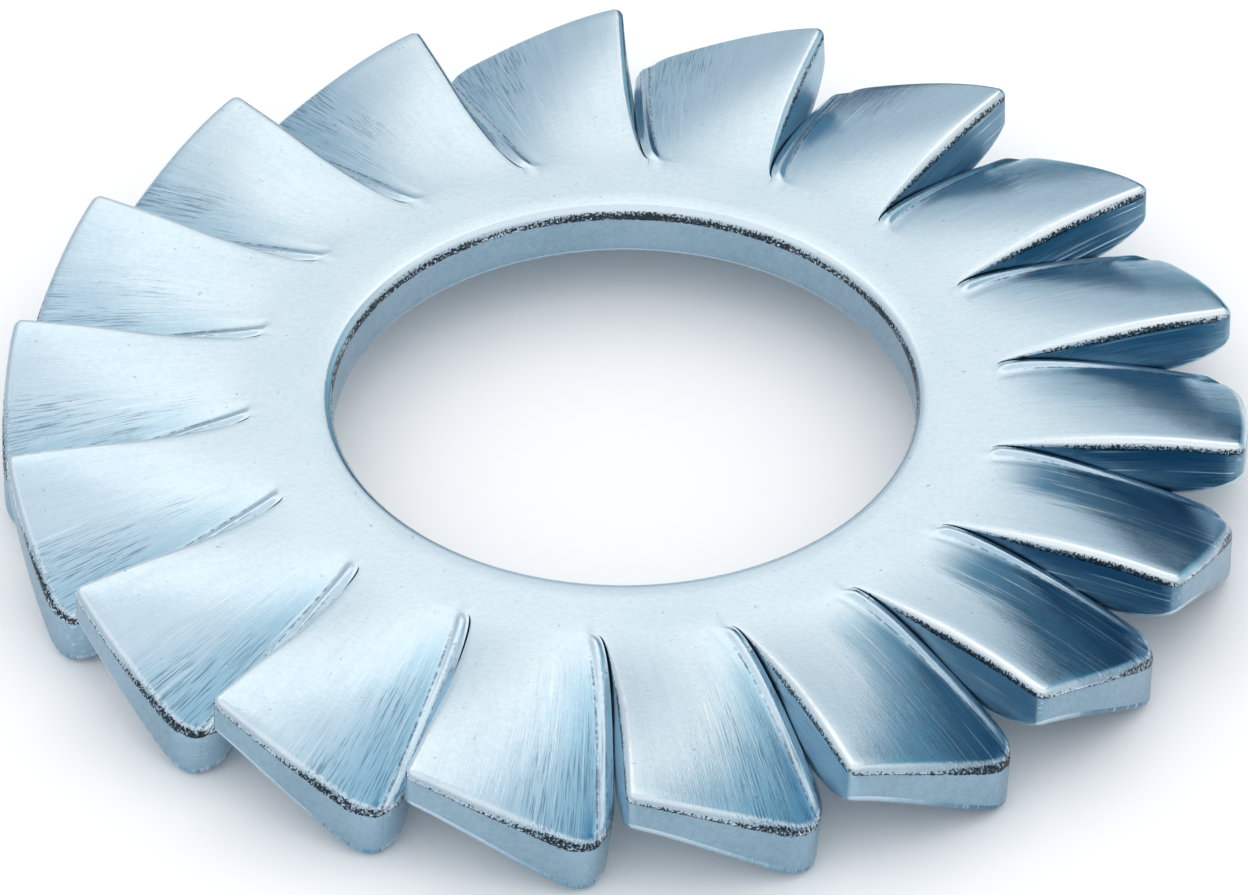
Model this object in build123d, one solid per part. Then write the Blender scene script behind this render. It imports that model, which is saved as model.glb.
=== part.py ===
"""Toothed lock washer: a flat ring with a crown of twisted, overlapping teeth, pressed from one sheet."""
from build123d import *
from math import cos, radians, tan
import os

# Driving dimensions, in millimetres.
bore_diameter = 10.5        # clearance for a 10 mm bolt
root_diameter = 13.5        # circle through the inner ends of the slots
outer_diameter = 22.4       # circle through the tips of the teeth
sheet_thickness = 1.0
tooth_count = 18
edge_rise = 0.25            # raised edge of a tooth above the ring, at the rim
edge_fall = 1.3             # lowered edge of a tooth below the ring, at the rim
slot_sweep = 0.8            # sideways run of a slot from its root to the rim
slot_width = 0.1            # kerf between two teeth at the root
edge_lap = 0.3              # how far a lowered edge reaches under its neighbour, at the rim
raised_corner_cut = 0.2     # plan corner of a tooth on its raised side
lowered_corner_radius = 0.9
edge_bevel = 0.12           # along the top edges of a tooth
under_bevel = 0.16          # along the lower edges of a tooth
raised_thinning = 0.32      # share of the sheet's thickness coined away at a raised corner
lowered_swell = 0.35        # share by which a tooth is thicker, measured upright, at its steep lowered corner
bore_roll = 0.22            # rolled-over top edge of the bore
bore_break = 0.08           # broken lower edge of the bore

# How the form of a tooth develops from its root to the rim.
bow_power = 0.6             # under 1: the slot swings sideways soon after its root
rise_power = 0.8
fall_power = 1.25           # over 1: the lowered edge falls faster towards the rim
curl_at_root = 3.3          # high: near the root only the strip by the lowered edge curls down
curl_at_rim = 1.3           # low: at the rim the whole width slopes
lap_power = 1.5             # over 1: the lowered edge eases out under its neighbour
thickness_power = 1.5       # over 1: the thickness changes mostly towards the rim
section_count = 6
section_spread = 1.5        # over 1: the sections crowd towards the root
points_across = 5

# Worked out from the above.
outer_radius = outer_diameter / 2
half_pitch = radians(180 / tooth_count)
root_flat = root_diameter / 2 * cos(half_pitch)
tooth_length = outer_radius - root_flat
rim_overrun = sheet_thickness / 2
full_drop = edge_rise + edge_fall
lap_start = min(1, (sheet_thickness / full_drop) ** (1 / fall_power))


def lap_at(along):
    """How far the lowered edge has closed the slot and passed under its neighbour."""
    if lap_start == 1 or along <= lap_start:
        return 0
    return (slot_width + edge_lap) * ((along - lap_start) / (1 - lap_start)) ** lap_power


def side_at(along, side):
    """Sideways place of a tooth's edge: side is -1 for the raised one and 1 for the lowered one."""
    radial_line = side * (root_flat + along * tooth_length) * tan(half_pitch)
    bow = slot_sweep * along ** bow_power
    lap = lap_at(along) if side > 0 else 0
    return radial_line + bow - side * slot_width / 2 + lap


def height_at(along, across):
    """Height of a tooth's top face over the ring, across being 0 at its raised edge and 1 at its lowered one."""
    rise = edge_rise * along ** rise_power * (1 - across)
    curl = curl_at_rim + (curl_at_root - curl_at_rim) * (1 - min(along, 1)) ** 2
    return rise - edge_fall * along ** fall_power * across ** curl


def thickness_at(along, across):
    """Upright thickness of a tooth: it thins towards its raised corner and swells towards its lowered one."""
    change = lowered_swell * across - raised_thinning * (1 - across)
    return sheet_thickness * (1 + change * along ** thickness_power)


def tooth_section(along):
    """Closed profile of a tooth across its length: curved top and bottom, upright sheared sides."""
    near, far = side_at(along, -1), side_at(along, 1)
    steps = [step / (points_across - 1) for step in range(points_across)]
    top = [Vector(root_flat + along * tooth_length, near + (far - near) * step, height_at(along, step))
           for step in steps]
    bottom = [point - Vector(0, 0, thickness_at(along, step)) for point, step in zip(top, steps)]
    return Wire([
        Edge.make_spline(top),
        Edge.make_line(top[-1], bottom[-1]),
        Edge.make_spline(bottom[::-1]),
        Edge.make_line(bottom[0], top[0]),
    ])


def rim_corners(tooth):
    """The two upright edges where a tooth's sides meet its rim, the raised side first."""
    upright = [edge for edge in tooth.edges()
               if abs(edge.tangent_at(0.5).Z) > cos(half_pitch) and edge.center().X > root_flat + tooth_length / 2]
    return sorted(upright, key=lambda edge: edge.center().Y)


def free_edges(tooth, facing):
    """Edges of a tooth's top face, or of its bottom face where facing is -1, but for the one at the root."""
    face = max(tooth.faces(), key=lambda face: facing * face.normal_at().Z)
    return [edge for edge in face.edges() if edge.center().X > root_flat + edge_bevel / 2]


def make_tooth():
    """One tooth, lofted along its length, trimmed by the rim and bevelled along its top edges."""
    reach = 1 + rim_overrun / tooth_length
    places = [reach * (step / (section_count - 1)) ** section_spread for step in range(section_count)]
    blade = Solid.make_loft([tooth_section(along) for along in places])
    rim = Solid.make_cylinder(outer_radius, 2 * outer_radius, Plane((0, 0, -outer_radius)))
    tooth = (blade & rim).solid()
    tooth = tooth.chamfer(raised_corner_cut, None, [rim_corners(tooth)[0]])
    tooth = tooth.fillet(lowered_corner_radius, [rim_corners(tooth)[-1]])
    tooth = tooth.chamfer(edge_bevel, None, free_edges(tooth, 1))
    return tooth.chamfer(under_bevel, None, free_edges(tooth, -1))


def make_ring():
    """The flat ring, with one flat for each tooth to grow from and a punched bore."""
    blank = extrude(RegularPolygon(root_diameter / 2, tooth_count, rotation=180 / tooth_count), -sheet_thickness)
    ring = blank - Cylinder(bore_diameter / 2, 4 * sheet_thickness)
    bore_edges = ring.edges().filter_by(GeomType.CIRCLE).sort_by(Axis.Z)
    ring = fillet(bore_edges[-1], bore_roll)
    return chamfer(ring.edges().filter_by(GeomType.CIRCLE).sort_by(Axis.Z)[0], bore_break)


def make_washer():
    """The ring and its crown of teeth as one solid, standing on the lowered corners."""
    tooth = make_tooth()
    crown = [tooth.rotate(Axis.Z, 360 / tooth_count * place) for place in range(tooth_count)]
    washer = make_ring().fuse(*crown).solid()
    return washer.moved(Location((0, 0, -washer.bounding_box().min.Z)))


os.makedirs("parts", exist_ok=True)
export_step(make_washer(), "parts/lock_washer.step")
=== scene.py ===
"""Toothed lock washer: zinc-plated pressed steel, lying on a pale studio floor."""
import logging
import math
import random
from dataclasses import dataclass, field
from enum import Enum

import bmesh
import bpy
from mathutils import Matrix, Vector


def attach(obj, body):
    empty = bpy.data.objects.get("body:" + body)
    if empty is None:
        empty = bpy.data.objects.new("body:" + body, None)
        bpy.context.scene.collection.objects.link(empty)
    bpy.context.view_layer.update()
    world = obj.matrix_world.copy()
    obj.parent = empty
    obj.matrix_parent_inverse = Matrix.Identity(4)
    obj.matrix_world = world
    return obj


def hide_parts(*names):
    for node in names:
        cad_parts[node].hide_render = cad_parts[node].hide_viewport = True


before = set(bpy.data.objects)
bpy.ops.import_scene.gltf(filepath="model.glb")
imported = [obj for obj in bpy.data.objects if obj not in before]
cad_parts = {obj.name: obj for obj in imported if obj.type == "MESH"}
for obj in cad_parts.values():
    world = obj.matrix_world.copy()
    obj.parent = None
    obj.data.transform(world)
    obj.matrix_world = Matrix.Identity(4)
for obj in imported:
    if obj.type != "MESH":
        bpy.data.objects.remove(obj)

Colour = tuple[float, float, float, float]
Socket = bpy.types.NodeSocket
Node = bpy.types.Node
Tree = bpy.types.NodeTree
BMesh = bmesh.types.BMesh
BMVert = bmesh.types.BMVert

MM = 0.001
PICTURE_WIDTH = 1248
WHITE: Colour = (1.0, 1.0, 1.0, 1.0)
# Near-black of the grains at the outer limit of the rolled edges and at the top of the cut walls.
EDGE_GRAIN_BLACK: Colour = (0.012, 0.02, 0.03, 1.0)
# Near-white of the pale drawn streaks and of the painted highlight on the rolled edges.
PALE_STREAK_AND_HIGHLIGHT: Colour = (0.86, 0.92, 0.96, 1.0)
# Side where the painted blue reflection on the steep faces is weakest, and the limits of that share.
WEAK_TURN = math.radians(130.0)
WEAK_LIMITS = (-0.5, 0.5)
TINY = 1e-4
LOG = logging.getLogger("washer")


# ---------------------------------------------------------------- node tools

class Graph:
    """A node tree with short calls for adding and joining nodes."""

    def __init__(self, tree: Tree) -> None:
        """Keeps the tree that the nodes go into."""
        self.tree = tree

    def add(self, kind: str, **settings: object) -> Node:
        """Adds a node.

        Args:
            kind: the node's type name.
            settings: attributes of the node to set.

        Returns:
            The new node.
        """
        node = self.tree.nodes.new(kind)
        for name, value in settings.items():
            setattr(node, name, value)
        return node

    def put(self, socket: Socket, value: object) -> None:
        """Links or sets an input.

        Args:
            socket: the input.
            value: an output to link from, the name of one of the piece's attributes, or a constant.
        """
        if isinstance(value, str):
            value = self.field(value)
        if isinstance(value, Socket):
            self.tree.links.new(value, socket)
        else:
            socket.default_value = value

    def math(self, operation: str, *values: object, clamp: bool = False) -> Socket:
        """Adds a Math node.

        Args:
            operation: the node's operation.
            values: its inputs in order.
            clamp: whether the result is held between 0 and 1.

        Returns:
            The node's output.
        """
        node = self.add("ShaderNodeMath", operation=operation, use_clamp=clamp)
        for socket, value in zip(node.inputs, values):
            self.put(socket, value)
        return node.outputs[0]

    def times(self, first: object, second: object, clamp: bool = False) -> Socket:
        """Multiplies two values, and holds the result between 0 and 1 if clamp is set."""
        return self.math("MULTIPLY", first, second, clamp=clamp)

    def less(self, first: object, second: object, clamp: bool = False) -> Socket:
        """Takes the second value from the first, and holds the result between 0 and 1 if clamp is set."""
        return self.math("SUBTRACT", first, second, clamp=clamp)

    def scaled(self, value: object, factor: object, offset: object) -> Socket:
        """Multiplies a value by a factor and adds an offset."""
        return self.math("MULTIPLY_ADD", value, factor, offset)

    def ramp(self, value: object, low: float, high: float, start: float = 0.0,
             end: float = 1.0) -> Socket:
        """Maps a value smoothly from one range to another.

        Args:
            value: the value.
            low: where the change starts.
            high: where it ends.
            start: result at low.
            end: result at high.

        Returns:
            The mapped value.
        """
        node = self.add("ShaderNodeMapRange", interpolation_type="SMOOTHSTEP")
        for socket, number in zip(node.inputs, (value, low, high, start, end)):
            self.put(socket, number)
        return node.outputs[0]

    def blend(self, share: object, first: object, second: object) -> Socket:
        """Mixes two colours.

        Args:
            share: how much of the second, from 0 to 1.
            first: the first colour.
            second: the second colour.

        Returns:
            The mixed colour.
        """
        node = self.add("ShaderNodeMix", data_type="RGBA")
        self.put(node.inputs[0], share)
        self.put(node.inputs[6], first)
        self.put(node.inputs[7], second)
        return node.outputs[2]

    def stretch(self, vector: object, scale: tuple[float, float, float]) -> Socket:
        """Scales a vector along each axis.

        Args:
            vector: the vector.
            scale: one factor for each axis.

        Returns:
            The scaled vector.
        """
        node = self.add("ShaderNodeMapping")
        self.put(node.inputs["Vector"], vector)
        node.inputs["Scale"].default_value = scale
        return node.outputs[0]

    def noise(self, vector: object, scale: float, detail: float = 2.0, rough: float = 0.5,
              twist: float = 0.0) -> Socket:
        """Adds a noise pattern.

        Args:
            vector: where the pattern is read.
            scale: its fineness.
            detail: its octaves.
            rough: how strong the fine octaves are.
            twist: its distortion.

        Returns:
            The pattern's value.
        """
        node = self.add("ShaderNodeTexNoise")
        names = ("Vector", "Scale", "Detail", "Roughness", "Distortion")
        for name, value in zip(names, (vector, scale, detail, rough, twist)):
            self.put(node.inputs[name], value)
        return node.outputs[0]

    def field(self, name: str, vector: bool = False) -> Socket:
        """Reads one of the piece's own attributes, as a vector if vector is set."""
        node = self.add("ShaderNodeAttribute", attribute_name=name)
        return node.outputs["Vector" if vector else "Fac"]


def fresh_graph(owner: bpy.types.Material | bpy.types.World) -> Graph:
    """Clears a material's or a world's nodes.

    Args:
        owner: the material or world.

    Returns:
        The graph of its empty tree.
    """
    owner.use_nodes = True
    owner.node_tree.nodes.clear()
    return Graph(owner.node_tree)


def new_group(name: str, takes: dict[str, object],
              gives: tuple[str, ...]) -> tuple[Tree, Graph, dict, dict]:
    """Starts a shader node group.

    Args:
        name: the group's name.
        takes: input names with their defaults, a tuple for a vector.
        gives: names of its outputs, which are all values.

    Returns:
        The group, its graph, its inputs and its outputs by name.
    """
    tree = bpy.data.node_groups.new(name, "ShaderNodeTree")
    for label, default in takes.items():
        kind = "NodeSocketVector" if isinstance(default, tuple) else "NodeSocketFloat"
        socket = tree.interface.new_socket(label, in_out="INPUT", socket_type=kind)
        socket.default_value = default
    for label in gives:
        tree.interface.new_socket(label, in_out="OUTPUT", socket_type="NodeSocketFloat")
    graph = Graph(tree)
    start = graph.add("NodeGroupInput")
    end = graph.add("NodeGroupOutput")
    return tree, graph, {s.name: s for s in start.outputs}, {s.name: s for s in end.inputs}


# ------------------------------------------------------------------ finishes

class Effect(Enum):
    """The effects that the two zinc finishes share."""

    PLATING = "plating_mottle"
    LINES = "drawn_lines"
    SPECKLE = "edge_speckle"


def plating_group() -> Tree:
    """Slow colour drift of the passivated plating, with pores and a fine grain.

    Returns:
        The node group: the drift, its finer part alone, a mask of pores, and the grain's height.
    """
    tree, graph, takes, gives = new_group(
        Effect.PLATING.value,
        {"Vector": (0.0, 0.0, 0.0)},
        ("Drift", "Cloud", "Pores", "Grain"),
    )
    slow = graph.noise(takes["Vector"], 0.45, 3.0, 0.55)
    cloud = graph.noise(takes["Vector"], 9.0, 4.0, 0.7)
    graph.put(gives["Cloud"], cloud)
    mixed = graph.scaled(cloud, 0.8, graph.times(slow, 0.6))
    graph.put(gives["Drift"], graph.ramp(mixed, 0.5, 0.92))
    pores = graph.noise(takes["Vector"], 8.0, 1.0, 0.5)
    graph.put(gives["Pores"], graph.ramp(pores, 0.74, 0.8))
    graph.put(gives["Grain"], graph.noise(takes["Vector"], 13.0, 3.0, 0.75))
    return tree


def lines_group() -> Tree:
    """Fine drawn lines along the second axis, dark where they gather in clusters.

    Returns:
        The node group: a height, a mask of dark lines and a mask of bright ones.
    """
    tree, graph, takes, gives = new_group(
        Effect.LINES.value,
        {"Vector": (0.0, 0.0, 0.0), "Clusters": 0.5},
        ("Height", "Dark", "Bright"),
    )
    fine = graph.noise(graph.stretch(takes["Vector"], (33.0, 1.1, 33.0)), 1.0, 3.0, 0.68, 0.1)
    long = graph.noise(graph.stretch(takes["Vector"], (13.0, 0.22, 13.0)), 1.0, 2.0, 0.6)
    broad = graph.noise(graph.stretch(takes["Vector"], (4.0, 0.45, 4.0)), 1.0, 2.0, 0.5)
    graph.put(gives["Height"], graph.scaled(broad, 0.7, fine))
    patch = graph.noise(graph.stretch(takes["Vector"], (1.3, 0.6, 1.3)), 1.0, 2.0, 0.5)
    patch = graph.scaled(graph.less(patch, 0.5), 1.3, takes["Clusters"])
    share = graph.ramp(patch, 0.25, 0.95)
    floor = graph.scaled(share, -0.19, 0.69)
    dark = graph.times(graph.less(fine, floor), 11.0, clamp=True)
    graph.put(gives["Dark"], graph.times(dark, share, clamp=True))
    pale = graph.times(graph.less(long, 0.58), 12.0, clamp=True)
    graph.put(gives["Bright"], graph.times(pale, graph.ramp(patch, 0.3, 0.6), clamp=True))
    return tree


def speckle_group() -> Tree:
    """Granular dark line at the outer limit of a rolled edge.

    Returns:
        The node group: a mask of the dark grains.
    """
    tree, graph, takes, gives = new_group(
        Effect.SPECKLE.value,
        {"Vector": (0.0, 0.0, 0.0), "Band": 0.0, "Reach": 0.0},
        ("Dark",),
    )
    grains = graph.noise(takes["Vector"], 22.0, 2.0, 0.8)
    slow = graph.noise(takes["Vector"], 0.7, 2.0, 0.5)
    level = graph.scaled(graph.less(slow, 0.5), 1.2, takes["Band"])
    level = graph.less(level, takes["Reach"])
    mixed = graph.scaled(graph.less(grains, 0.5), 3.2, level)
    dark = graph.ramp(mixed, 0.45, 0.65)
    graph.put(gives["Dark"], graph.times(dark, graph.ramp(takes["Band"], 0.0, 0.25), clamp=True))
    return tree


@dataclass(frozen=True)
class ZincFinish:
    """Bright, pale-blue zinc plate on steel; the base of the pressed and the sheared finish.

    The steep faces carry a painted reflection in blue, darkest towards dark_turn and weakest towards
    WEAK_TURN, which is set for the look.
    """

    name: str
    pale: Colour
    deep: Colour
    # Pores and drawn lines, and also the painted shade in the folds.
    stain_and_crease_shade: Colour
    # Painted reflection on the steep faces; the next colour is the darker painted reflection and painted
    # shade on the side towards dark_turn.
    steep: Colour
    shade: Colour
    fine_share: float
    roughness: float
    line_depth: float
    # Where the painted reflection is darkest, and how much it weakens towards WEAK_TURN.
    dark_turn: float
    dark_limits: tuple[float, float]
    weak_share: float = 0.0
    # Strength of the painted highlight on the rolled edges.
    edge_highlight: float = 0.0
    grain_depth: float = 0.0025

    def material(self, effects: dict[Effect, Tree]) -> bpy.types.Material:
        """Builds the material.

        Args:
            effects: the shared node groups.

        Returns:
            The finished material.
        """
        made = bpy.data.materials.new(self.name)
        graph = fresh_graph(made)
        place = graph.stretch(graph.add("ShaderNodeTexCoord").outputs["Object"], (1 / MM, 1 / MM, 1 / MM))
        plating, lines, speckle = (graph.add("ShaderNodeGroup", node_tree=effects[key]) for key in Effect)
        graph.put(plating.inputs["Vector"], place)
        graph.put(speckle.inputs["Vector"], place)
        graph.put(lines.inputs["Vector"], graph.field("blank", vector=True))
        graph.put(lines.inputs["Clusters"], self.clusters(graph))
        for name, value in zip(("Band", "Reach"), self.edge_band(graph)):
            graph.put(speckle.inputs[name], value)
        # Painted reflection: the steep faces turn blue, darkest on the side towards dark_turn and weaker
        # towards WEAK_TURN.
        side = self.toward(graph, place, self.dark_turn, self.dark_limits)
        far = self.toward(graph, place, WEAK_TURN, WEAK_LIMITS)
        blue = graph.times(self.steep_share(graph, lines, side), graph.scaled(far, -self.weak_share, 1.0))
        share = self.line_share(graph)
        fine = graph.times(graph.less(lines.outputs["Height"], 0.8), 2.2, clamp=True)
        fine = graph.times(graph.times(fine, self.fine_share), share)
        bright = graph.times(lines.outputs["Bright"], graph.scaled(side, 0.5, 0.5))
        colour = graph.blend(plating.outputs["Drift"], self.pale, self.deep)
        # Layers, in order: the painted blue reflection of the steep faces, pores, the painted highlight on
        # the rolled edges, painted shade in the folds, fine and dark drawn lines, pale streaks, dark edge
        # grains.
        for amount, tint in (
            (blue, graph.blend(side, self.steep, self.shade)),
            (graph.times(plating.outputs["Pores"], 0.3), self.stain_and_crease_shade),
            (self.painted_highlight_share(graph, plating.outputs["Cloud"]), PALE_STREAK_AND_HIGHLIGHT),
            (self.folds(graph, plating.outputs["Cloud"]), self.stain_and_crease_shade),
            (fine, self.stain_and_crease_shade),
            (graph.times(lines.outputs["Dark"], share), self.stain_and_crease_shade),
            (graph.times(bright, share), PALE_STREAK_AND_HIGHLIGHT),
            (graph.times(speckle.outputs["Dark"], 0.95), EDGE_GRAIN_BLACK),
        ):
            colour = graph.blend(amount, colour, tint)
        shader = graph.add("ShaderNodeBsdfPrincipled")
        graph.put(shader.inputs["Base Color"], colour)
        shader.inputs["Metallic"].default_value = 1.0
        rough = graph.scaled(plating.outputs["Drift"], 0.08, self.roughness)
        rough = graph.scaled(speckle.outputs["Dark"], 0.25, rough)
        graph.put(shader.inputs["Roughness"], rough)
        graph.put(shader.inputs["Normal"], self.relief(graph, lines, plating))
        out = graph.add("ShaderNodeOutputMaterial")
        graph.put(out.inputs["Surface"], shader.outputs[0])
        return made

    def toward(self, graph: Graph, place: Socket, turn: float, limits: tuple[float, float]) -> Socket:
        """How far a place lies on one side of the washer.

        Args:
            graph: the material's graph.
            place: the place on the washer, in millimetres.
            turn: the side's direction about the bore, in radians.
            limits: the direction's cosine where the share starts and where it is full.

        Returns:
            The share, from 0 to 1.
        """
        spoke = graph.add("ShaderNodeVectorMath", operation="NORMALIZE")
        graph.put(spoke.inputs[0], place)
        facing = graph.add("ShaderNodeVectorMath", operation="DOT_PRODUCT")
        graph.put(facing.inputs[0], spoke.outputs["Vector"])
        facing.inputs[1].default_value = (math.cos(turn), math.sin(turn), 0.0)
        return graph.ramp(facing.outputs["Value"], *limits)

    def painted_highlight_share(self, graph: Graph, cloud: Socket) -> Socket:
        """Painted highlight: how far the rolled edges are painted near white, in patches.

        Args:
            graph: the material's graph.
            cloud: noise that makes the patches.

        Returns:
            The share.
        """
        patchy = graph.times(graph.scaled(cloud, 2.6, -0.3), "roll")
        highlight_amount = graph.times(graph.ramp(patchy, 0.05, 0.45), self.edge_highlight)
        highlight_amount = graph.times(highlight_amount, graph.scaled("slot", 0.5, 0.5))
        return graph.times(highlight_amount, graph.less(1.0, "deep", clamp=True))

    def from_root(self, graph: Graph) -> Socket:
        """How strong the dark edges are: weaker in a slot near its root."""
        near = graph.ramp("along", 0.05, 0.4, 0.65, 0.0)
        return graph.less(1.0, graph.times(near, "slot"))

    def relief(self, graph: Graph, lines: Node, plating: Node) -> Socket:
        """The finish's small relief.

        Args:
            graph: the material's graph.
            lines: the drawn lines.
            plating: the plating's grain.

        Returns:
            The shading normal.
        """
        on_tooth = graph.ramp("along", 0.02, 0.3)
        drawn = graph.times(on_tooth, graph.ramp("across", 0.1, 0.6, 0.3, 1.0))
        layers = ((graph.times(lines.outputs["Height"], drawn), self.line_depth),
                  (plating.outputs["Grain"], self.grain_depth))
        normal = None
        for height, depth in layers:
            bump = graph.add("ShaderNodeBump")
            bump.inputs["Strength"].default_value = 1.0
            bump.inputs["Distance"].default_value = depth * MM
            graph.put(bump.inputs["Height"], height)
            if normal is not None:
                graph.put(bump.inputs["Normal"], normal)
            normal = bump.outputs[0]
        return normal


@dataclass(frozen=True)
class PressedFinish(ZincFinish):
    """The finish of the sheet's top and underside, with painted shade in two folds at these distances from a
    lowered edge.
    """

    inner_fold: float = 0.3
    outer_fold: float = 0.13

    def edge_band(self, graph: Graph) -> tuple[Socket, Socket]:
        """Where the dark grains may lie, at the outer limit of the rolled edge.

        Args:
            graph: the material's graph.

        Returns:
            The band, and how much wider it is on the rim towards the lowered corner.
        """
        rim = graph.less(1.0, "slot")
        wide = graph.times(graph.ramp("across", 0.3, 0.95), rim)
        wide = graph.times(wide, graph.ramp("along", 0.6, 0.85))
        start = graph.scaled("slot", -0.12, graph.scaled(wide, -0.46, 0.88))
        start = graph.math("ADD", start, graph.ramp("along", -0.1, 0.0, -0.14, 0.0))
        roll = graph.times(graph.less("roll", start), 4.5, clamp=True)
        clean = graph.times(graph.ramp("lowered", 0.1, 0.3, 0.75, 0.0), "slot")
        roll = graph.times(roll, graph.less(0.85, clean))
        roll = graph.times(roll, self.from_root(graph))
        above = graph.less(1.0, "deep", clamp=True)
        return graph.times(roll, above), graph.times(wide, 0.15)

    def folds(self, graph: Graph, cloud: Socket) -> Socket:
        """Painted shade: fine dark lines in the folds that run along the bead beside the lowered edge.

        Args:
            graph: the material's graph.
            cloud: noise that breaks the folds up.

        Returns:
            The share.
        """
        inner = graph.math("ABSOLUTE", graph.less("lowered", self.inner_fold))
        outer = graph.math("ABSOLUTE", graph.less("lowered", self.outer_fold))
        inner_line = graph.ramp(inner, 0.008, 0.035, 0.9, 0.0)
        outer_line = graph.ramp(outer, 0.005, 0.02, 0.6, 0.0)
        lines = graph.times(graph.math("MAXIMUM", inner_line, outer_line), graph.ramp(cloud, 0.35, 0.6))
        return graph.times(lines, graph.ramp("along", 0.06, 0.2))

    def clusters(self, graph: Graph) -> Socket:
        """How readily dark lines gather: most by the lowered edge, towards the rim."""
        side = graph.ramp("across", 0.2, 0.7)
        return graph.times(side, graph.ramp("along", 0.1, 0.8, 0.45, 0.9))

    def line_share(self, graph: Graph) -> Socket:
        """Strength of the dark lines, none on the ring."""
        return graph.ramp("along", 0.04, 0.3, 0.0, 0.6)

    def steep_share(self, graph: Graph, lines: Node, side: Socket) -> Socket:
        """Painted reflection: how much the steep, lowered part of the tooth is painted blue.

        Args:
            graph: the material's graph.
            lines: the drawn lines, which feather the zone's border.
            side: the share of the side with the darker painted reflection, where the border is sharper.

        Returns:
            The share.
        """
        zone = graph.scaled("along", 0.35, "across")
        zone = graph.scaled(graph.less(lines.outputs["Height"], 0.85), 0.3, zone)
        wide = graph.ramp(zone, 0.62, 1.15)
        sharp = graph.ramp(zone, 0.5, 0.7, 0.0, 0.92)
        share = graph.scaled(graph.less(sharp, wide), side, wide)
        bead = graph.ramp("lowered", 0.24, 0.4, 1.0, 0.0)
        bead = graph.times(bead, graph.scaled(side, -0.25, 0.9))
        share = graph.times(share, graph.less(1.0, bead))
        return graph.times(share, graph.ramp("along", 0.03, 0.3))


@dataclass(frozen=True)
class ShearedFinish(ZincFinish):
    """The finish of the sheet's cut sides: the rim, the bore and, darkest, the slots, whose walls carry a
    painted reflection, dark blue as painted shade on one side.
    """

    def edge_band(self, graph: Graph) -> tuple[Socket, float]:
        """Where the dark grains may lie, at the top of the wall.

        Args:
            graph: the material's graph.

        Returns:
            The band, and nothing to widen it.
        """
        return graph.times(graph.ramp("deep", 0.0, 0.07, 0.8, 0.0), self.from_root(graph)), 0.0

    def folds(self, graph: Graph, cloud: Socket) -> float:
        """Painted shade in the folds beside the lowered edge, of which a cut side has none."""
        return 0.0

    def clusters(self, graph: Graph) -> float:
        """How readily dark lines gather."""
        return 0.5

    def line_share(self, graph: Graph) -> Socket:
        """Strength of the dark lines, greatest in the slots."""
        return graph.ramp("slot", 0.0, 1.0, 0.12, 1.0)

    def steep_share(self, graph: Graph, lines: Node, side: Socket) -> Socket:
        """Painted reflection: how much a slot's wall is painted blue, pale on most of the washer and dark as
        painted shade on one side.

        Args:
            graph: the material's graph.
            lines: the drawn lines, which streak it.
            side: the share of the side with the painted shade, where the top of the wall is darkest.

        Returns:
            The share.
        """
        streak = graph.scaled(graph.less(lines.outputs["Height"], 0.85), 0.7, 0.85)
        top = graph.ramp("deep", 0.0, 0.5, 0.2, -0.1)
        streak = graph.math("ADD", streak, graph.times(side, top))
        return graph.times("slot", streak, clamp=True)


PRESSED = PressedFinish(
    "zinc_pressed",
    pale=(0.575, 0.72, 0.82, 1.0),
    deep=(0.53, 0.68, 0.79, 1.0),
    stain_and_crease_shade=(0.09, 0.16, 0.25, 1.0),
    # Painted reflection on the steep lowered part of each tooth, then the darker one towards dark_turn.
    steep=(0.27, 0.5, 0.66, 1.0),
    shade=(0.05, 0.2, 0.34, 1.0),
    # Painted highlight on the rolled edges.
    edge_highlight=0.85,
    fine_share=0.22,
    roughness=0.17,
    line_depth=0.0034,
    # Side where the painted reflection is darkest.
    dark_turn=math.radians(-28.0),
    dark_limits=(0.74, 0.95),
    weak_share=0.48,
)
SHEARED = ShearedFinish(
    "zinc_sheared",
    pale=(0.32, 0.45, 0.55, 1.0),
    deep=(0.25, 0.38, 0.48, 1.0),
    stain_and_crease_shade=(0.03, 0.07, 0.12, 1.0),
    # Painted reflection on the slot walls, then the dark blue painted shade towards dark_turn.
    steep=(0.44, 0.64, 0.77, 1.0),
    shade=(0.045, 0.16, 0.27, 1.0),
    fine_share=0.3,
    roughness=0.3,
    line_depth=0.005,
    # Side where the slot walls carry the painted shade.
    dark_turn=math.radians(8.0),
    dark_limits=(0.25, 0.9),
)


# -------------------------------------------------------------- shared tools

def eased(share: float) -> float:
    """A share held between 0 and 1, with a soft start and end."""
    held = min(max(share, 0.0), 1.0)
    return held * held * (3 - 2 * held)


def new_verts(result: dict[str, list]) -> list[BMVert]:
    """The vertices that an extrusion made, from the operator's result."""
    return [item for item in result["geom"] if isinstance(item, BMVert)]


def linked(name: str, data: bpy.types.ID) -> bpy.types.Object:
    """Puts an object in the scene.

    Args:
        name: its name.
        data: its mesh, light or camera.

    Returns:
        The object.
    """
    made = bpy.data.objects.new(name, data)
    bpy.context.collection.objects.link(made)
    return made


def placed(name: str, mesh: BMesh) -> bpy.types.Object:
    """Puts a bmesh in the scene as an object, and frees it.

    Args:
        name: the object's name.
        mesh: its shape.

    Returns:
        The object.
    """
    data = bpy.data.meshes.new(name)
    mesh.to_mesh(data)
    mesh.free()
    return linked(name, data)


# -------------------------------------------------------------------- washer

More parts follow.
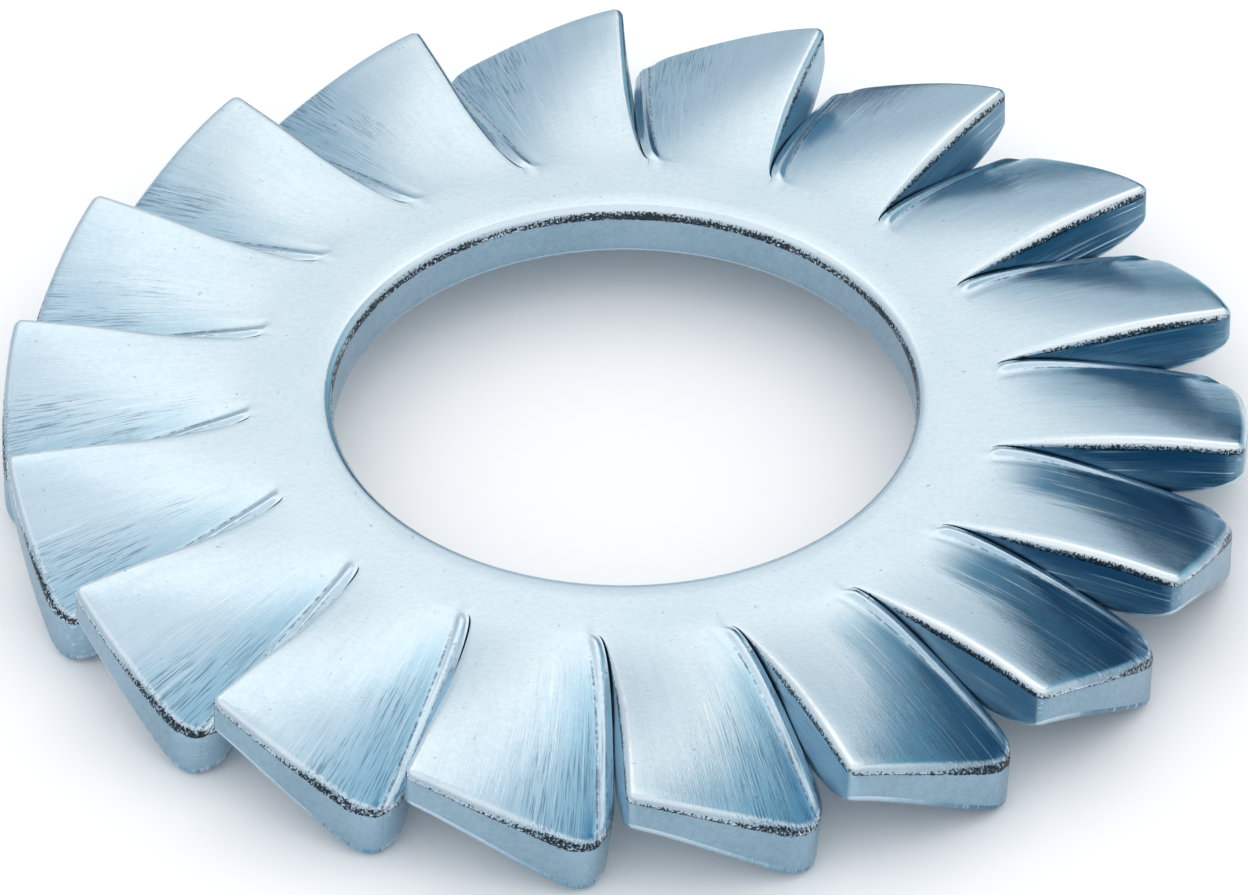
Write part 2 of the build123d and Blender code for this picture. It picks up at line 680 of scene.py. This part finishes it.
@dataclass(frozen=True)
class ToothForm:
    """Shape of one tooth, in millimetres, with its root at the ring and its tip at the rim."""

    count: int = 18
    root_radius: float = 6.75
    rim_radius: float = 11.196
    edge_rise: float = 0.222
    rise_end: float = 0.8
    edge_fall: float = 1.322
    slot_sweep: float = 0.8
    slot_width: float = 0.012
    edge_retreat: float = 0.2
    retreat_power: float = 1.25
    wall_lean: float = 0.14
    thickness: float = 1.0
    raised_thinning: float = 0.32
    raised_swell: float = 0.16
    swell_start: float = 0.4
    swell_end: float = 0.75
    thinning_power: float = 9.0
    lowered_swell: float = 0.35
    bow_power: float = 0.6
    fall_power: float = 1.25
    curl_at_root: float = 3.3
    curl_at_rim: float = 1.3
    thickness_power: float = 5.0
    bead_width: float = 0.3
    bead_height: float = 0.045
    bead_start: float = 0.18
    crease_place: float = 1.25
    crease_width: float = 0.22
    crease_share: float = 0.45

    @property
    def half_pitch(self) -> float:
        """Half the angle of one tooth, in radians."""
        return math.pi / self.count

    @property
    def root_flat(self) -> float:
        """Distance of a tooth's root line from the bore's axis."""
        return self.root_radius * math.cos(self.half_pitch)

    @property
    def length(self) -> float:
        """Length of a tooth on its middle line."""
        return self.rim_radius - self.root_flat

    def lean(self, along: float) -> float:
        """How far the slots' walls lean at their feet, in millimetres, as the teeth are twisted."""
        reach = min(max(along, 0.0), 1.0)
        return 4 * self.wall_lean * reach * (1 - reach)

    def side(self, along: float, side: int) -> float:
        """Sideways place of an edge.

        Args:
            along: 0 at the root and 1 at the rim.
            side: -1 for the raised edge and 1 for the lowered one.

        Returns:
            The distance from the tooth's middle line.
        """
        line = side * (self.root_flat + along * self.length) * math.tan(self.half_pitch)
        bow = self.slot_sweep * max(along, 0.0) ** self.bow_power
        retreat = self.edge_retreat * max(along, 0.0) ** self.retreat_power if side > 0 else 0.0
        return line + bow - side * self.slot_width / 2 - retreat

    def height(self, along: float, across: float) -> float:
        """Height of the top face over the ring.

        Args:
            along: 0 at the root and 1 at the rim.
            across: 0 at the raised edge and 1 at the lowered one.

        Returns:
            The height, below 0 where the face has fallen.
        """
        along, across = max(along, 0.0), min(max(across, 0.0), 1.0)
        rise = self.edge_rise * eased(along / self.rise_end) * (1 - across)
        curl = self.curl_at_rim + (self.curl_at_root - self.curl_at_rim) * (1 - min(along, 1.0)) ** 2
        return rise - self.edge_fall * along ** self.fall_power * across ** curl

    def upright_thickness(self, along: float, across: float) -> float:
        """Thickness measured upright: more at the steep lowered corner, less at the raised one.

        Args:
            along: 0 at the root and 1 at the rim.
            across: 0 at the raised edge and 1 at the lowered one.

        Returns:
            The thickness.
        """
        if along <= 0:
            return self.thickness
        swell = self.raised_swell * eased((along - self.swell_start) / (self.swell_end - self.swell_start))
        raised = swell - (self.raised_swell + self.raised_thinning) * along ** self.thinning_power
        lowered = self.lowered_swell * along ** self.thickness_power
        return self.thickness * (1 + raised * (1 - across) + lowered * across)

    def bead(self, along: float, gap: float) -> float:
        """Height of the pinched bead that runs beside the lowered edge, with the crease behind it.

        Args:
            along: 0 at the root and 1 at the rim.
            gap: distance from the lowered edge.

        Returns:
            The height over the tooth's smooth face.
        """
        fade = eased(along * self.length / self.bead_start)
        gap /= self.bead_width
        swell = math.sin(math.pi * min(gap, 1.0)) ** 2
        crease = math.exp(-((gap - self.crease_place) / self.crease_width) ** 2)
        return fade * self.bead_height * (swell - self.crease_share * crease)


@dataclass(frozen=True)
class EdgeRolls:
    """Radii of the rolled-over top edges, in millimetres."""

    bore: float = 0.22
    raised: float = 0.18
    lowered: float = 0.035
    rim_raised: float = 0.14
    rim_lowered: float = 0.22
    under_raised: float = 0.1
    under_lowered: float = 0.3

    @staticmethod
    def drop(distance: float, radius: float) -> float:
        """How far a rolled edge has dropped.

        Args:
            distance: distance from the edge, in plan.
            radius: the roll's radius there.

        Returns:
            The drop, 0 beyond the roll.
        """
        if distance >= radius or radius <= 0:
            return 0.0
        return radius - math.sqrt(max(radius * radius - (radius - distance) ** 2, 0.0))


@dataclass
class WasherBody:
    """The whole washer: a ring and its crown of teeth, as one closed mesh."""

    ring_top: float = 2.1051
    bore_radius: float = 5.25
    raised_corner: float = 0.2
    lowered_corner: float = 0.9
    columns: int = 42
    roll_steps: int = 5
    bead_steps: int = 12
    bead_span: float = 1.6
    bead_span_at_root: float = 0.55
    ring_rows: int = 4
    tooth_rows: int = 30
    wall_cuts: int = 3
    plan_rounds: int = 6
    row_crowding: float = 1.35
    seam_step: float = 0.03
    roll_start: float = 0.45
    roll_power: float = 0.8
    pattern_width: float = 3.6
    pattern_shift: float = 40.0
    ring_softness: float = 0.8
    far_from_slot: float = 9.0
    corner_angle: float = math.radians(50.0)
    seed: int = 7
    fields: tuple[str, ...] = (
        "across", "along", "roll", "edge", "drop", "lowered", "slot", "deep", "softness",
    )
    form: ToothForm = field(default_factory=ToothForm)
    rolls: EdgeRolls = field(default_factory=EdgeRolls)

    @property
    def rows(self) -> int:
        """Rows of quads from the bore to the rim."""
        return self.roll_steps + self.ring_rows + self.tooth_rows + self.roll_steps

    @property
    def root_row(self) -> int:
        """The row that lies on the root line."""
        return self.roll_steps + self.ring_rows

    def step(self, index: int) -> float:
        """Share of a roll's radius outside one of its loops, which are even round its arc."""
        return 1 - math.cos(0.5 * math.pi * index / self.roll_steps)

    def across_at(self, column: int, width: float, left: float, right: float) -> float:
        """Distance of a column from the raised edge.

        Args:
            column: its number.
            width: the sheet's width there.
            left: the raised edge's roll.
            right: the lowered edge's roll.

        Returns:
            The distance, in millimetres.
        """
        steps = self.roll_steps
        from_far = self.columns - column
        bead = self.bead_span * self.form.bead_width * min(1.0, self.bead_span_at_root + right)
        if column <= steps:
            return left * self.step(column)
        if from_far <= steps:
            return width - right * self.step(from_far)
        if from_far <= steps + self.bead_steps:
            return width - right - bead * (from_far - steps) / self.bead_steps
        share = (column - steps) / (self.columns - 2 * steps - self.bead_steps)
        return left + (width - left - right - bead) * share

    def ring_point(self, column: int, row: int) -> tuple[Vector, dict[str, float]]:
        """A vertex of the ring's top.

        Args:
            column: its column.
            row: its row, 0 at the bore.

        Returns:
            Its place and its values.
        """
        form, rolls = self.form, self.rolls
        half = form.root_flat * math.tan(form.half_pitch)
        y = self.across_at(column, 2 * half, self.seam_step, self.seam_step) - half
        angle = math.atan2(y, form.root_flat)
        limit = form.root_flat / math.cos(angle)
        if row <= self.roll_steps:
            out = rolls.bore * self.step(row)
        else:
            share = (row - self.roll_steps) / self.ring_rows
            out = rolls.bore + (limit - self.bore_radius - rolls.bore) * share
        radius = self.bore_radius + out
        place = Vector((radius * math.cos(angle), radius * math.sin(angle), -rolls.drop(out, rolls.bore)))
        values = {
            "across": column / self.columns,
            "along": (radius - limit) / form.length,
            "roll": max(0.0, 1 - out / rolls.bore),
            "edge": out,
            "drop": rolls.drop(out, rolls.bore),
            "lowered": self.far_from_slot,
            "slot": 0.0,
            "softness": self.ring_softness,
        }
        return place, values

    def tooth_point(self, column: int, row: int) -> tuple[Vector, dict[str, float]]:
        """A vertex of the tooth's top.

        Args:
            column: its column.
            row: its row, beyond the root line.

        Returns:
            Its place and its values.
        """
        form, rolls = self.form, self.rolls
        done = row - self.root_row
        share = column / self.columns
        rim_roll = rolls.rim_raised + (rolls.rim_lowered - rolls.rim_raised) * share
        if row > self.rows - self.roll_steps:
            reach = 1 - rim_roll * self.step(self.rows - row) / form.length
        else:
            reach = (done / self.tooth_rows) ** self.row_crowding * (1 - rim_roll / form.length)
        _, along, depth = self.on_tooth(reach, share)
        from_rim = (1 - reach) * depth
        fade = min(1.0, along / self.roll_start) ** self.roll_power
        left, right = rolls.raised * fade, rolls.lowered * fade
        width = form.side(along, 1) - form.side(along, -1)
        inset = self.across_at(column, width, left, right)
        distance, corner_inset, corner_rim, slot = self.rounded(inset, width, from_rim)
        across = corner_inset / width
        y, along, depth = self.on_tooth(1 - corner_rim / depth, across)
        side_roll = left if inset < width / 2 else right
        roll = rim_roll + (side_roll - rim_roll) * slot
        z = form.height(along, across) - rolls.drop(distance, roll) + form.bead(along, width - corner_inset)
        values = {
            "across": across,
            "along": along,
            "roll": max(0.0, 1 - distance / roll) if roll > 0 else 0.0,
            "edge": distance,
            "drop": rolls.drop(distance, roll),
            "lowered": width - corner_inset,
            "slot": slot,
            "softness": fade,
        }
        return Vector((form.root_flat + along * form.length, y, z)), values

    def on_tooth(self, reach: float, across: float) -> tuple[float, float, float]:
        """Finds a point of the tooth in plan.

        Args:
            reach: 0 on the root line and 1 on the rim's circle.
            across: 0 at the raised edge and 1 at the lowered one.

        Returns:
            Its distance from the tooth's middle line, its share of the tooth's length, and the length there.
        """
        form = self.form
        along, depth, y = reach, form.length, 0.0
        for _ in range(self.plan_rounds):
            near, far = form.side(along, -1), form.side(along, 1)
            y = near + across * (far - near)
            depth = math.sqrt(form.rim_radius ** 2 - y * y) - form.root_flat
            along = reach * depth / form.length
        return y, along, depth

    def rounded(self, inset: float, width: float, from_rim: float) -> tuple[float, float, float, float]:
        """Carries a point of the square-cornered blank onto the blank with its corners rounded.

        Args:
            inset: distance from the raised edge.
            width: the sheet's width.
            from_rim: distance from the rim.

        Returns:
            The distance from the outline, the new inset, the new distance from the rim, and how much the
            nearest edge belongs to a slot: 1 by a slot, 0 by the rim, and a blend round the corners.
        """
        left_half = inset < width / 2
        corner = self.raised_corner if left_half else self.lowered_corner
        gap = inset if left_half else width - inset
        u, v = 1 - gap / corner, 1 - from_rim / corner
        level = max(u, v)
        if min(u, v) <= 0:
            return min(gap, from_rim), inset, from_rim, float(gap < from_rim)
        turn = 0.25 * math.pi * (v / u) if u >= v else 0.5 * math.pi - 0.25 * math.pi * (u / v)
        new_gap = corner - corner * level * math.cos(turn)
        new_rim = corner - corner * level * math.sin(turn)
        new_inset = new_gap if left_half else width - new_gap
        return (1 - level) * corner, new_inset, new_rim, 1 - math.atan2(v, u) / (0.5 * math.pi)

    def sector(self) -> BMesh:
        """One tooth with its share of the ring, closed but for the two faces where it meets its neighbours.

        Returns:
            The sector's mesh, in millimetres.
        """
        mesh = bmesh.new()
        bmesh.ops.create_grid(mesh, x_segments=self.columns, y_segments=self.rows, size=0.5)
        layers = {name: mesh.verts.layers.float.new(name) for name in self.fields}
        blank = mesh.verts.layers.float_vector.new("blank")
        seam = mesh.verts.layers.int.new("seam")
        for vert in mesh.verts:
            column = round((vert.co.x + 0.5) * self.columns)
            row = round((vert.co.y + 0.5) * self.rows)
            place, values = (self.ring_point if row <= self.root_row else self.tooth_point)(column, row)
            vert[seam] = int(column in (0, self.columns) and row <= self.root_row)
            vert.co = place
            for name, value in values.items():
                vert[layers[name]] = value
            vert[blank] = Vector((self.pattern_width * values["across"], place.x, values["drop"]))
        low = new_verts(bmesh.ops.extrude_face_region(mesh, geom=mesh.faces[:]))
        for vert in low:
            across = vert[layers["across"]] if vert[layers["along"]] > 0 else 0.0
            radius = self.rolls.under_raised + (self.rolls.under_lowered - self.rolls.under_raised) * across
            roll = self.rolls.drop(vert[layers["edge"]], radius * vert[layers["softness"]])
            thickness = self.form.upright_thickness(vert[layers["along"]], vert[layers["across"]])
            vert.co.z += vert[layers["drop"]] + roll - thickness - self.bead_at(vert, layers)
            lean = self.form.lean(vert[layers["along"]]) / vert.co.xy.length
            vert.co.xy = Matrix.Rotation(-lean, 2) @ vert.co.xy
            vert[blank] = Vector((vert[blank].x, vert[blank].y, thickness))
            vert[layers["deep"]] = 1.0
        self.cut_walls(mesh, low)
        walls = [face for face in mesh.faces if all(vert[seam] for vert in face.verts) and self.on_seam(face)]
        bmesh.ops.delete(mesh, geom=walls, context="FACES")
        return mesh

    def bead_at(self, vert: BMVert, layers: dict) -> float:
        """Height of the bead above this vertex, which the underside doesn't share."""
        along = vert[layers["along"]]
        return self.form.bead(along, vert[layers["lowered"]]) if along > 0 else 0.0

    def cut_walls(self, mesh: BMesh, low: list[BMVert]) -> None:
        """Gives the upright walls a few rows of their own.

        Args:
            mesh: the sector.
            low: its underside's vertices.
        """
        under = set(low)
        upright = [edge for edge in mesh.edges if (edge.verts[0] in under) != (edge.verts[1] in under)]
        bmesh.ops.subdivide_edges(mesh, edges=upright, cuts=self.wall_cuts, use_grid_fill=True)

    def on_seam(self, face: bmesh.types.BMFace) -> bool:
        """Whether a face lies on one of the two planes where sectors meet."""
        turns = [math.atan2(vert.co.y, vert.co.x) / self.form.half_pitch for vert in face.verts]
        return all(abs(turn - 1) < TINY for turn in turns) or all(abs(turn + 1) < TINY for turn in turns)

    def build(self) -> bpy.types.Object:
        """Makes the washer from its sectors.

        Returns:
            The finished object, in place.
        """
        mesh = self.sector()
        turn = 2 * math.pi / self.form.count
        bmesh.ops.spin(
            mesh, geom=mesh.verts[:] + mesh.edges[:] + mesh.faces[:], cent=(0, 0, 0), axis=(0, 0, 1),
            dvec=(0, 0, 0), angle=turn * (self.form.count - 1), steps=self.form.count - 1, use_duplicate=True,
        )
        bmesh.ops.remove_doubles(mesh, verts=mesh.verts[:], dist=TINY)
        bmesh.ops.recalc_face_normals(mesh, faces=mesh.faces[:])
        self.give_tones(mesh)
        self.sort_faces(mesh)
        bmesh.ops.translate(mesh, verts=mesh.verts[:], vec=(0, 0, self.ring_top))
        bmesh.ops.scale(mesh, verts=mesh.verts[:], vec=(MM, MM, MM))
        return placed("washer_body", mesh)

    def give_tones(self, mesh: BMesh) -> None:
        """Moves each tooth's pattern, so that no two teeth are alike.

        Args:
            mesh: the whole washer.
        """
        dice = random.Random(self.seed)
        far = self.pattern_shift
        shifts = [
            Vector((dice.uniform(-far, far), dice.uniform(-far, far), 0.0)) for _ in range(self.form.count)
        ]
        blank = mesh.verts.layers.float_vector["blank"]
        along = mesh.verts.layers.float["along"]
        pitch = 2 * self.form.half_pitch
        for vert in mesh.verts:
            reach = max(vert[along], 0.0)
            lean = self.form.slot_sweep * reach ** self.form.bow_power / max(vert.co.xy.length, 1.0)
            place = round((math.atan2(vert.co.y, vert.co.x) - lean) / pitch) % self.form.count
            if reach > 0:
                vert[blank] = vert[blank] + shifts[place]

    def sort_faces(self, mesh: BMesh) -> None:
        """Marks sheared faces, and shades the surface smooth but for its real corners.

        Args:
            mesh: the whole washer.
        """
        deep = mesh.verts.layers.float["deep"]
        for face in mesh.faces:
            depths = [vert[deep] for vert in face.verts]
            face.smooth = True
            face.material_index = int(max(depths) - min(depths) > TINY)
        for edge in mesh.edges:
            edge.smooth = edge.calc_face_angle(0.0) < self.corner_angle

    def dress(self, made: bpy.types.Object, effects: dict[Effect, Tree]) -> None:
        """Gives the washer its finishes, which hold the shared node groups."""
        for finish in (PRESSED, SHEARED):
            made.data.materials.append(finish.material(effects))


# -------------------------------------------------------------------- studio

@dataclass
class Studio:
    """Pale floor, dome, low graded surround, lamp and camera. Turns are in degrees, 0 at the back."""

    ring_top: float
    floor_half: float = 2.0
    floor_gap: float = 0.00002
    floor_colour: Colour = (0.965, 0.97, 0.975, 1.0)
    floor_roughness: float = 0.9
    base_radius: float = 0.0145
    surround_radius: float = 0.25
    surround_top: float = 0.3
    surround_sides: int = 96
    low_glow: Colour = (0.6, 0.67, 0.72, 1.0)
    back_glow: Colour = (1.52, 1.38, 1.27, 1.0)
    back_limits: tuple[float, float] = (20.0, 60.0)
    rise_limits: tuple[float, float] = (19.0, 51.0)
    card_turns: tuple[float, ...] = (15.0, 22.0, 33.0, 46.0, 60.0)
    card_glows: tuple[Colour, ...] = (
        (0.02, 0.08, 0.14, 1.0), (0.15, 0.33, 0.44, 1.0), (0.19, 0.39, 0.5, 1.0),
        (0.39, 0.62, 0.72, 1.0), (0.6, 0.67, 0.72, 1.0),
    )
    card_span: float = 90.0
    card_slope: tuple[float, float] = (0.85, 9.0)
    card_softness: float = 2.5
    card_start: tuple[float, float] = (0.5, 5.5)
    card_end: tuple[float, float] = (50.0, 75.0)
    lamp_place: tuple[float, float, float] = (-0.03, 0.32, 0.52)
    lamp_size: tuple[float, float] = (0.6, 0.26)
    lamp_power: float = 0.2
    lamp_colour: tuple[float, float, float] = (1.0, 0.87, 0.74)
    dome_light: Colour = (0.96, 0.98, 1.0, 1.0)
    dome_strength: float = 1.14
    lens_pixels: float = 9635.8
    elevation: float = 39.67
    azimuth: float = 3.97
    roll: float = -0.133
    distance: float = 173.05
    shift_right: float = 0.0079
    shift_up: float = 1.0293

    def floor(self) -> None:
        """The pale floor."""
        mesh = bmesh.new()
        bmesh.ops.create_grid(mesh, x_segments=1, y_segments=1, size=self.floor_half)
        bmesh.ops.translate(mesh, verts=mesh.verts[:], vec=(0, 0, -self.floor_gap))
        made = placed("studio_floor", mesh)
        made.data.materials.append(self.floor_material())

    def floor_material(self) -> bpy.types.Material:
        """The floor's matt white.

        Returns:
            The material.
        """
        made = bpy.data.materials.new("floor_white")
        made.use_nodes = True
        shader = made.node_tree.nodes["Principled BSDF"]
        shader.inputs["Base Color"].default_value = self.floor_colour
        shader.inputs["Roughness"].default_value = self.floor_roughness
        shader.inputs["Specular IOR Level"].default_value = 0.0
        return made

    def surround(self) -> None:
        """Low graded surround with a base plate round the washer; only reflections show it."""
        mesh = bmesh.new()
        bmesh.ops.create_circle(mesh, segments=self.surround_sides, radius=self.base_radius)
        wide = new_verts(bmesh.ops.extrude_edge_only(mesh, edges=mesh.edges[:]))
        factor = self.surround_radius / self.base_radius
        bmesh.ops.scale(mesh, verts=wide, vec=(factor, factor, 1.0))
        outer = [edge for edge in mesh.edges if all(vert in wide for vert in edge.verts)]
        high = new_verts(bmesh.ops.extrude_edge_only(mesh, edges=outer))
        bmesh.ops.translate(mesh, verts=high, vec=(0, 0, self.surround_top))
        made = placed("studio_surround", mesh)
        made.data.materials.append(self.surround_material())
        made.visible_camera = False
        made.visible_diffuse = False
        made.visible_shadow = False

    def surround_material(self) -> bpy.types.Material:
        """The surround's colour: dim below, bright above and at the back, with a blue card at the right.

        Returns:
            The material.
        """
        made = bpy.data.materials.new("surround_graded")
        graph = fresh_graph(made)
        split = graph.add("ShaderNodeSeparateXYZ")
        graph.put(split.inputs[0], graph.add("ShaderNodeTexCoord").outputs["Object"])
        degree = math.degrees(1.0)
        turn = graph.times(graph.math("ARCTAN2", split.outputs["X"], split.outputs["Y"]), degree)
        height = graph.times(graph.math("ARCTAN2", split.outputs["Z"], self.surround_radius), degree)
        back = graph.ramp(graph.math("ABSOLUTE", turn), *self.back_limits, 1.0, 0.0)
        top = graph.blend(back, WHITE, self.back_glow)
        plain = graph.blend(graph.ramp(height, *self.rise_limits), self.low_glow, top)
        card = graph.add("ShaderNodeValToRGB")
        stops = card.color_ramp.elements
        stops[0].position, stops[0].color = self.card_turns[0] / self.card_span, self.card_glows[0]
        stops[1].position, stops[1].color = self.card_turns[-1] / self.card_span, self.card_glows[-1]
        for place, colour in zip(self.card_turns[1:-1], self.card_glows[1:-1]):
            stops.new(place / self.card_span).color = colour
        graph.put(card.inputs[0], graph.math("DIVIDE", turn, self.card_span))
        edge = graph.less(graph.scaled(turn, *self.card_slope), height)
        share = graph.ramp(edge, -self.card_softness, self.card_softness)
        share = graph.times(share, graph.ramp(turn, *self.card_start))
        share = graph.times(share, graph.ramp(turn, *self.card_end, 1.0, 0.0))
        glow = graph.add("ShaderNodeEmission")
        graph.put(glow.inputs["Color"], graph.blend(share, plain, card.outputs["Color"]))
        out = graph.add("ShaderNodeOutputMaterial")
        graph.put(out.inputs["Surface"], glow.outputs[0])
        return made

    def lamp(self) -> None:
        """The soft box at the back, aimed at the washer."""
        data = bpy.data.lights.new("back_softbox", "AREA")
        data.shape = "RECTANGLE"
        data.size, data.size_y = self.lamp_size
        data.energy = self.lamp_power
        data.color = self.lamp_colour
        made = linked("back_softbox", data)
        made.location = self.lamp_place
        made.rotation_mode = "QUATERNION"
        made.rotation_quaternion = Vector(self.lamp_place).to_track_quat("Z", "Y")

    def dome(self) -> None:
        """The white dome over the floor."""
        world = bpy.data.worlds.new("dome")
        bpy.context.scene.world = world
        graph = fresh_graph(world)
        rays = graph.add("ShaderNodeLightPath")
        seen = graph.math("MAXIMUM", rays.outputs["Is Camera Ray"], rays.outputs["Is Glossy Ray"])
        seen = graph.math("MAXIMUM", seen, rays.outputs["Is Transmission Ray"])
        mixed = graph.add("ShaderNodeMixShader")
        graph.put(mixed.inputs[0], seen)
        skies = ((self.dome_light, self.dome_strength), (WHITE, 1.0))
        for socket, (colour, strength) in zip(mixed.inputs[1:], skies):
            background = graph.add("ShaderNodeBackground")
            background.inputs["Color"].default_value = colour
            background.inputs["Strength"].default_value = strength
            graph.put(socket, background.outputs[0])
        out = graph.add("ShaderNodeOutputWorld")
        graph.put(out.inputs["Surface"], mixed.outputs[0])

    def camera(self) -> None:
        """The camera. Its distance and shifts are taken from the middle of the ring's top face."""
        turn, tilt = math.radians(self.azimuth), math.radians(self.elevation)
        right = Vector((math.cos(turn), math.sin(turn), 0.0))
        back = Vector((math.sin(turn) * math.cos(tilt), -math.cos(turn) * math.cos(tilt), math.sin(tilt)))
        axes = Matrix((right, back.cross(right), back)).transposed()
        axes = axes @ Matrix.Rotation(math.radians(self.roll), 3, "Z")
        place = axes @ Vector((-self.shift_right, -self.shift_up, self.distance))
        place += Vector((0.0, 0.0, self.ring_top))
        data = bpy.data.cameras.new("camera")
        data.sensor_width = 36.0
        data.sensor_fit = "HORIZONTAL"
        data.lens = self.lens_pixels * data.sensor_width / PICTURE_WIDTH
        data.clip_start = 0.005
        data.clip_end = 20.0
        made = linked("camera", data)
        made.matrix_world = Matrix.Translation(place * MM) @ axes.to_4x4()
        bpy.context.scene.camera = made

    def set_up(self) -> None:
        """Builds the studio."""
        self.floor()
        self.surround()
        self.dome()
        self.lamp()
        self.camera()
        bpy.context.scene.view_settings.view_transform = "Standard"


def main() -> None:
    """Builds the washer and its studio, in order, and logs the washer's face count."""
    logging.basicConfig(level=logging.INFO)
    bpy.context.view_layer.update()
    effects = {Effect.PLATING: plating_group(), Effect.LINES: lines_group(), Effect.SPECKLE: speckle_group()}
    body = WasherBody()
    washer = body.build()
    body.dress(washer, effects)
    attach(washer, "root")
    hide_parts("lock_washer")
    LOG.info("washer: %d faces", len(washer.data.polygons))
    Studio(body.ring_top).set_up()


if __name__ == "__main__":
    main()
